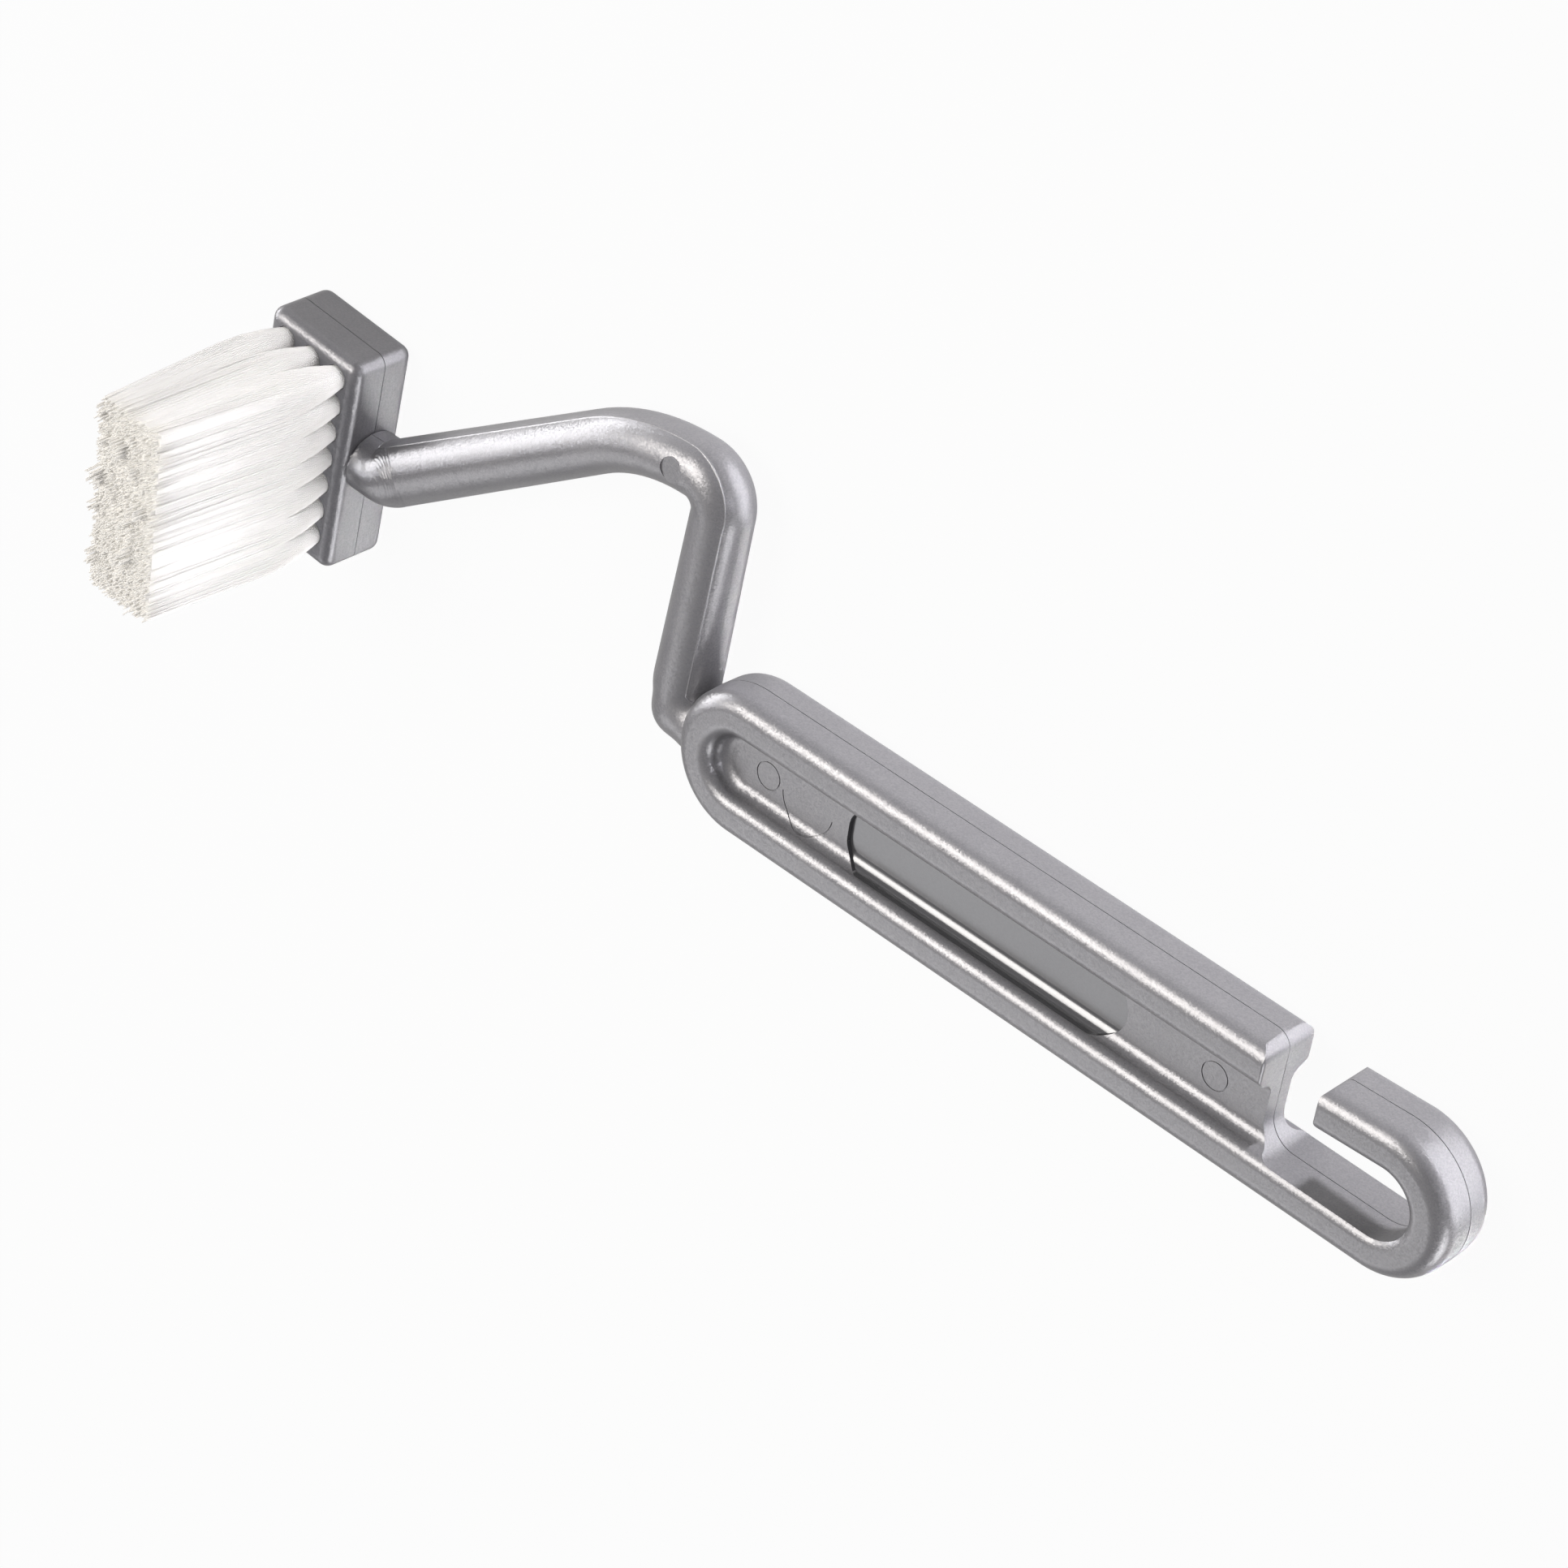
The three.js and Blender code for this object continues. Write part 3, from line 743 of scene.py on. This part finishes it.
def anchor_seats():
    """The slots that the anchors were driven into, as one tool."""
    length = HOLE_DIAMETER + 2 * (ANCHOR_BITE + ANCHOR_CLEARANCE)
    thickness = ANCHOR_THICKNESS + 2 * ANCHOR_CLEARANCE
    height = ANCHOR_HEIGHT + 2 * ANCHOR_CLEARANCE
    shape = bmesh.new()
    for _, hole, _ in tuft_places():
        middle = Vector((hole.x, hole.y, ANCHOR_FOOT_Z + ANCHOR_HEIGHT / 2))
        turned = Matrix.Translation(middle) @ Matrix.Rotation(ANCHOR_TURN, 4, "Z")
        sized = Matrix.Diagonal((length, thickness, height, 1.0))
        bmesh.ops.create_cube(shape, size=1.0, matrix=ON_HEAD @ turned @ sized)
    return from_bmesh("seats", shape)


def moulded_skin():
    """Handle, rod and head as one moulding, with the holes and the anchors' seats cut out of it."""
    skin = combined(handle(), rod(), "UNION")
    # The block gets the scratched copy, which is darker as painted shade.
    skin = combined(skin, dress(head_block(), BRUSHED_AND_SHADED), "UNION")
    skin = combined(skin, dress(drilled_holes(), SILVER), "DIFFERENCE")
    skin = combined(skin, dress(anchor_seats(), SILVER), "DIFFERENCE")
    skin.name = "moulded_skin"
    skin.data.transform(TO_FRAME)
    skin.data.polygons.foreach_set("use_smooth", [True] * len(skin.data.polygons))
    skin.data.set_sharp_from_angle(angle=SHARP_ANGLE)
    weighted = skin.modifiers.new("flat faces stay flat", "WEIGHTED_NORMAL")
    weighted.keep_sharp = True
    return skin


SKIN = moulded_skin()
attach(SKIN, "root")
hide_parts("moulded_body")


def disc_to_square(x, y):
    """A point of the unit disc spread smoothly over the unit square."""
    root2 = math.sqrt(2)
    a = 2 + x * x - y * y
    b = 2 - x * x + y * y

    def half(value):
        return math.sqrt(max(value, 0.0)) / 2

    return (half(a + 2 * root2 * x) - half(a - 2 * root2 * x),
            half(b + 2 * root2 * y) - half(b - 2 * root2 * y))


def folded_roots():
    """Places of the filament pairs in a hole: along the anchor and to either side of it."""
    reach = (HOLE_DIAMETER - FILAMENT_DIAMETER) / 2 - TUFT_CLEARANCE / 2
    inner = reach - FILAMENT_SPACING
    row_gap = FILAMENT_SPACING * math.sqrt(3) / 2
    places = []
    for k in range(OUTER_FILAMENTS):
        angle = math.pi * (k + 0.5) / OUTER_FILAMENTS
        places.append((reach * math.cos(angle), reach * math.sin(angle)))
    row = 0
    while row_gap * (row + 0.5) < inner:
        aside = row_gap * (row + 0.5)
        half_width = math.sqrt(inner * inner - aside * aside)
        count = math.floor(half_width / FILAMENT_SPACING - 0.25 * (row % 2) + 0.25)
        for k in range(-count, count + 1):
            along = FILAMENT_SPACING * (k + 0.5 * (row % 2))
            if abs(along) <= half_width:
                places.append((along, aside))
        row += 1
    return places, reach


def splayed(root, spread, hole, tip, z):
    """Where a filament with a given root has got to at a height, splaying until the tufts meet."""
    reached = z / BRISTLE_LENGTH
    half_x = (COLUMN_PITCH + (TIP_COLUMN_PITCH - COLUMN_PITCH) * reached) / 2
    half_y = (ROW_PITCH + (TIP_ROW_PITCH - ROW_PITCH) * reached) / 2
    cell = Matrix.Rotation(TIP_TURN * reached, 2) @ Vector((half_x * spread.x, half_y * spread.y))
    left = 1 - min(max(z / SPLAY_HEIGHT, 0.0), 1.0)
    return hole.lerp(tip, reached) + root.lerp(cell, 1 - left * left)


def leg(root, reach, hole, tip, clumps, chance):
    """A leg's points from the hole's mouth to its end, drawn a little to the nearest clump."""
    spread = CELL_OVERLAP * Vector(disc_to_square(root.x / reach, root.y / reach))
    clump, lift = min(clumps, key=lambda one: (one[0] - spread).length)
    uneven = min(max(chance.gauss(0, LENGTH_SPREAD), -LENGTH_LIMIT), LENGTH_LIMIT)
    length = BRISTLE_LENGTH + lift + uneven
    loose = STRAY_SPREAD if chance.random() < STRAY_SHARE else TIP_SPREAD
    drift = Vector((chance.gauss(0, loose), chance.gauss(0, loose)))
    points = []
    for k in range(LEG_STEPS + 1):
        part = (k / LEG_STEPS) ** LEG_CROWDING
        z = length * part
        gathered = spread.lerp(clump, CLUMP_PULL * part * part)
        flat = splayed(root, gathered, hole, tip, z) + drift * part * part
        points.append(Vector((flat.x, flat.y, z)))
    return points


def add_core(points, faces, reach, hole, tip):
    """The filaments deep inside a tuft, as one plain body that ends below the tips."""
    first = len(points)
    top = BRISTLE_LENGTH - CORE_SHOULDER
    levels = [(1.0, -CORE_BELOW_TIPS)]
    levels += [(1.0, top * (k / LEG_STEPS) ** LEG_CROWDING) for k in range(LEG_STEPS + 1)]
    levels.append((CORE_TOP_SHARE, BRISTLE_LENGTH - CORE_BELOW_TIPS))
    for share, z in levels:
        for k in range(HOLE_SIDES):
            angle = 2 * math.pi * k / HOLE_SIDES
            x = share * math.cos(angle)
            y = share * math.sin(angle)
            spread = Vector(disc_to_square(x, y))
            flat = splayed(reach * Vector((x, y)), spread, hole, tip, z)
            points.append(Vector((flat.x, flat.y, z)))
    for ring in range(len(levels) - 1):
        for k in range(HOLE_SIDES):
            a = first + ring * HOLE_SIDES + k
            b = first + ring * HOLE_SIDES + (k + 1) % HOLE_SIDES
            faces.append((a, b, b + HOLE_SIDES, a + HOLE_SIDES))
    faces.append(tuple(range(first + HOLE_SIDES - 1, first - 1, -1)))
    faces.append(tuple(range(len(points) - HOLE_SIDES, len(points))))


def filament_line(along, aside, reach, hole, tip, clumps, chance):
    """A whole filament: up one leg, from its tip, round under the anchor and up the other leg."""
    turn = Matrix.Rotation(ANCHOR_TURN, 2)
    clear = ANCHOR_THICKNESS / 2 + FILAMENT_DIAMETER * FOLD_GAP_SHARE
    beside = clear + aside * (reach - clear) / reach
    line = []
    for side in (1, -1):
        points = leg(turn @ Vector((along, side * aside)), reach, hole, tip, clumps, chance)
        line += points[::-1] if side == 1 else []
        fold = []
        for k in range(FOLD_STEPS // 2 + 1):
            angle = math.pi / 2 * k / (FOLD_STEPS // 2)
            flat = hole + turn @ Vector((along, side * beside * math.cos(angle)))
            depth = FILAMENT_DIAMETER + beside / reach * (FOLD_HEIGHT - FILAMENT_DIAMETER)
            fold.append(Vector((flat.x, flat.y, ANCHOR_FOOT_Z - depth * math.sin(angle))))
        line += fold if side == 1 else fold[-2::-1] + points
    return line


def add_tube(points, faces, line):
    """A thin tube round a line of points, with its frame carried along the line."""
    radius = FILAMENT_DIAMETER / 2
    normal = Vector((1.0, 0.0, 0.0))
    first = len(points)
    for k, at in enumerate(line):
        way = (line[min(k + 1, len(line) - 1)] - line[max(k - 1, 0)]).normalized()
        normal = (normal - way * normal.dot(way)).normalized()
        binormal = way.cross(normal)
        for side in range(FILAMENT_SIDES):
            angle = 2 * math.pi * side / FILAMENT_SIDES
            offset = normal * math.cos(angle) + binormal * math.sin(angle)
            points.append(at + radius * offset)
    for k in range(len(line) - 1):
        for side in range(FILAMENT_SIDES):
            a = first + k * FILAMENT_SIDES + side
            b = first + k * FILAMENT_SIDES + (side + 1) % FILAMENT_SIDES
            faces.append((a, b, b + FILAMENT_SIDES, a + FILAMENT_SIDES))
    faces.append(tuple(range(first + FILAMENT_SIDES - 1, first - 1, -1)))
    faces.append(tuple(range(len(points) - FILAMENT_SIDES, len(points))))


def bristle_tufts():
    """Every tuft as one piece of folded filaments."""
    chance = random.Random(SEED)
    roots, reach = folded_roots()
    tufts = []
    for name, hole, tip in tuft_places():
        points, faces = [], []
        clumps = []
        for _ in range(CLUMPS):
            place = Vector((chance.uniform(-1, 1), chance.uniform(-1, 1)))
            is_long = chance.random() < LONG_CLUMP_SHARE
            lift = chance.uniform(*LONG_CLUMP_LIFT) if is_long else chance.gauss(0, CLUMP_LENGTH_SPREAD)
            clumps.append((place, lift))
        for along, aside in roots:
            add_tube(points, faces, filament_line(along, aside, reach, hole, tip, clumps, chance))
        round_faces = len(faces)
        add_core(points, faces, reach, hole, tip)
        tuft = mesh_object(f"bristles_{name}", [ON_HEAD @ point for point in points], faces)
        how_far = tuft.data.attributes.new("how_far", "FLOAT", "POINT")
        how_far.data.foreach_set("value", [point.z / BRISTLE_LENGTH for point in points])
        tuft.data.transform(TO_FRAME)
        tuft.data.polygons.foreach_set("use_smooth", [k < round_faces for k in range(len(faces))])
        tuft.visible_glossy = False
        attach(tuft, "root")
        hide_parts(f"tuft_{name}")
        tufts.append(tuft)
    return tufts


NYLON = bristle_nylon()
for made_tuft in bristle_tufts():
    dress(made_tuft, NYLON)
BRASS = anchor_brass()
for place_name, _, _ in tuft_places():
    dress(bpy.data.objects[f"anchor_{place_name}"], BRASS)

# Camera at the photograph's angle
CAMERA_LENS = 110.15
SENSOR_WIDTH = 36.0
CAMERA_PLACE = Vector((414.776, 448.951, 496.222))
CAMERA_RIGHT = Vector((0.71515, 0.12916, -0.68693))
CAMERA_DOWN = Vector((0.48016, -0.80497, 0.34853))


def photo_camera():
    data = bpy.data.cameras.new("photo_camera")
    data.lens = CAMERA_LENS
    data.sensor_width = SENSOR_WIDTH
    camera = bpy.data.objects.new("photo_camera", data)
    bpy.context.scene.collection.objects.link(camera)
    right = CAMERA_RIGHT.normalized()
    back = right.cross(-CAMERA_DOWN).normalized()
    up = back.cross(right)
    turn = Matrix((right, up, back)).transposed().to_4x4()
    camera.matrix_world = Matrix.Translation(TO_FRAME @ CAMERA_PLACE) @ turn
    bpy.context.scene.camera = camera


photo_camera()

# Studio
FLOOR_HALF = 20.0
FLOOR_WHITE = 0.45
FLOOR_ROUGHNESS = 0.8
FLOOR_GLOW_SHARE = 0.95
FLOOR_GLOW_MIRRORED = 0.18
WORLD_LEVEL = 0.36
PANEL_DISTANCE = 1.2
SPOT_BLEND = 0.4
WARM = (1.0, 0.97, 0.92)
PLAIN = (1.0, 1.0, 1.0)
COOL = (0.965, 0.955, 1.0)
MIDDLE = (CAD_BOX[0] + CAD_BOX[1]) / 2


def floor_white():
    """White where the camera and the reflections see it, with a share of it shaded by shadows."""
    nodes = Nodes("floor_white")
    nodes.shader.inputs["Base Color"].default_value = (FLOOR_WHITE, FLOOR_WHITE, FLOOR_WHITE, 1)
    nodes.shader.inputs["Roughness"].default_value = FLOOR_ROUGHNESS
    path = nodes.add("ShaderNodeLightPath").outputs
    mirrored = nodes.math("MAXIMUM", path["Is Glossy Ray"], path["Is Transmission Ray"])
    share = nodes.math("MAXIMUM", nodes.math("MULTIPLY", path["Is Camera Ray"], FLOOR_GLOW_SHARE),
                       nodes.math("MULTIPLY", mirrored, FLOOR_GLOW_MIRRORED))
    glow = nodes.add("ShaderNodeEmission", Color=(1, 1, 1, 1), Strength=1.0)
    mix = nodes.add("ShaderNodeMixShader", Fac=share)
    nodes.tree.links.new(nodes.shader.outputs[0], mix.inputs[1])
    nodes.tree.links.new(glow.outputs[0], mix.inputs[2])
    nodes.tree.links.new(mix.outputs[0], nodes.tree.nodes["Material Output"].inputs["Surface"])
    return nodes.material


def floor():
    corners = [(-1, -1), (1, -1), (1, 1), (-1, 1)]
    made = mesh_object("floor", [(FLOOR_HALF * x, FLOOR_HALF * y, 0) for x, y in corners], [(0, 1, 2, 3)])
    dress(made, floor_white())
    made.visible_shadow = False


def direction(azimuth, elevation):
    """A unit vector by degrees from +X towards +Y and up from the floor."""
    a, e = math.radians(azimuth), math.radians(elevation)
    return Vector((math.cos(e) * math.cos(a), math.cos(e) * math.sin(a), math.sin(e)))


def soft_panel(name, towards, width, height, level, colour=PLAIN, roll=0.0, below=False, diffuse=True):
    """An area lamp that looks as bright as its level, for below the floor too or for reflections alone."""
    data = bpy.data.lights.new(name, "AREA")
    data.shape = "RECTANGLE"
    data.size = width
    data.size_y = height
    data.energy = 4 * level * width * height
    data.color = colour
    data.cycles.use_multiple_importance_sampling = not below
    lamp = bpy.data.objects.new(name, data)
    lamp.visible_diffuse = diffuse
    facing = towards.to_track_quat("Z", "Y").to_matrix() @ Matrix.Rotation(math.radians(roll), 3, "Z")
    lamp.matrix_world = Matrix.Translation(MIDDLE + PANEL_DISTANCE * towards) @ facing.to_4x4()
    bpy.context.scene.collection.objects.link(lamp)


def spot(name, aim, towards, distance, radius, cone, level, diffuse=True, glossy=True):
    """A lamp on one region, by the place in millimetres that it aims at, for matt light, shine or both."""
    data = bpy.data.lights.new(name, "SPOT")
    data.energy = 4 * math.pi * distance ** 2 * level
    data.shadow_soft_size = radius
    data.spot_size = math.radians(cone)
    data.spot_blend = SPOT_BLEND
    data.color = COOL
    lamp = bpy.data.objects.new(name, data)
    lamp.visible_diffuse = diffuse
    lamp.visible_glossy = glossy
    facing = towards.to_track_quat("Z", "Y").to_matrix().to_4x4()
    lamp.matrix_world = Matrix.Translation(TO_FRAME @ aim + distance * towards) @ facing
    bpy.context.scene.collection.objects.link(lamp)


def studio_world():
    world = bpy.data.worlds.new("studio")
    world.use_nodes = True
    background = world.node_tree.nodes["Background"]
    background.inputs["Color"].default_value = (*COOL, 1)
    background.inputs["Strength"].default_value = WORLD_LEVEL
    bpy.context.scene.world = world


floor()
soft_panel("top_panel", direction(145, 60), width=0.7, height=0.7, level=5.6, colour=WARM)
soft_panel("left_panel", direction(166, 9), width=1.5, height=0.28, level=7.8, roll=42, diffuse=False)
soft_panel("front_panel", direction(-117, 33), width=0.7, height=0.6, level=1.2)
soft_panel("right_panel", direction(-42, 5), width=0.7, height=0.5, level=4.4)
soft_panel("rim_panel", direction(25, -32), width=2.0, height=1.0, level=2.0, colour=COOL, below=True)
soft_panel("under_panel", direction(-64, -42), width=0.9, height=0.6, level=1.35, below=True)
spot("key", Vector((80, 0, 0)), direction(85.6, -31.1),
     distance=1.0, radius=0.05, cone=17, level=9.5, glossy=False)
spot("bristle_lamp", Vector((-93, 8, 32)), direction(15, 22),
     distance=1.2, radius=0.15, cone=5.5, level=1.65)
spot("rod_lamp", Vector((-50, 24, 0)), direction(-160, 35),
     distance=1.2, radius=0.2, cone=4.5, level=3.4, diffuse=False)
studio_world()
bpy.context.scene.view_settings.view_transform = "Standard"
